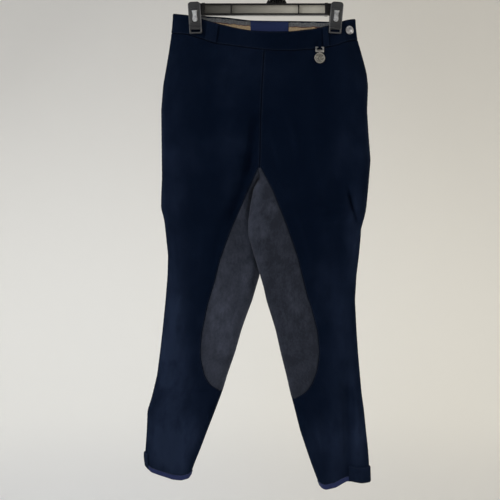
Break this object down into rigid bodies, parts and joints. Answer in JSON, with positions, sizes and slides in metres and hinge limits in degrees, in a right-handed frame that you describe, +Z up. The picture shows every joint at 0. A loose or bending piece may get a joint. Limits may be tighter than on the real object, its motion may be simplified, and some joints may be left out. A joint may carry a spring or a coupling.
{
  "type": "riding breeches on a clip hanger",
  "caption": "Full-seat riding breeches with a side fastening and ankle tabs, hung by the waistband from a clip hanger with a wire hook.",
  "frame": {"origin": "top of the inside of the hanger's hook, where a rail carries it", "axes": "+Z up, +X to the right seen from the front (the wearer's left), +Y from the front of the garment to its back"},
  "size_m": [0.4549, 0.0629, 1.065],
  "materials": {
    "stretch_cloth": "matt brushed stretch cotton, dark navy",
    "seat_suede": "napped synthetic suede, dark grey with lighter rubbed places",
    "waist_ribbon": "woven elastic ribbon, grey above and tan below with a thin brown line",
    "blank_label": "plain woven label, navy",
    "hem_tape": "matt knitted binding, royal navy",
    "hanger_plastic": "glossy black",
    "clip_plastic": "satin black",
    "bright_steel": "bright plated steel",
    "pewter": "soft silver, slightly worn"
  },
  "bodies": {
    "root": {"waistband_front": "stretch_cloth", "waistband_back": "stretch_cloth", "waist_ribbon": "waist_ribbon", "waist_label": "blank_label", "belt_loop_front_right": "stretch_cloth", "belt_loop_front_left": "stretch_cloth", "belt_loop_back_right": "stretch_cloth", "belt_loop_back_left": "stretch_cloth", "belt_loop_back_centre": "stretch_cloth", "front_right": "stretch_cloth", "front_left": "stretch_cloth", "back_right": "stretch_cloth", "back_left": "stretch_cloth", "thigh_patch_right": "seat_suede", "thigh_patch_left": "seat_suede", "seat_patch_right": "seat_suede", "seat_patch_left": "seat_suede", "hem_binding_right": "hem_tape", "hem_binding_left": "hem_tape", "ankle_tab_right": "stretch_cloth", "ankle_tab_left": "stretch_cloth", "waist_button": "bright_steel", "charm_tape": "stretch_cloth", "zip_chain": "stretch_cloth", "zip_slider": "pewter", "hanger_bar": "hanger_plastic", "hanger_hook": "bright_steel", "clip_right_jaw_front": "clip_plastic", "clip_right_jaw_back": "clip_plastic", "clip_right_spring": "bright_steel", "clip_left_jaw_front": "clip_plastic", "clip_left_jaw_back": "clip_plastic", "clip_left_spring": "bright_steel"},
    "link": {"charm_link": "pewter"},
    "disc": {"charm_disc": "pewter"},
    "pull": {"zip_pull": "pewter"}
  },
  "joints": [
    {"name": "link_swing", "type": "hinge", "parent": "root", "child": "link", "pos_m": [0.08601, -0.0075, -0.1818], "axis": [-0.9888, -0.149, 0], "range_deg": [0, 70]},
    {"name": "disc_swing", "type": "hinge", "parent": "link", "child": "disc", "pos_m": [0.08601, -0.0075, -0.191], "axis": [-0.9888, -0.149, 0], "range_deg": [0, 60]},
    {"name": "pull_swing", "type": "hinge", "parent": "root", "child": "pull", "pos_m": [0.15998, 0.02212, -0.18422], "axis": [0.8337, 0.478, 0.2764], "range_deg": [0, 165]}
  ]
}
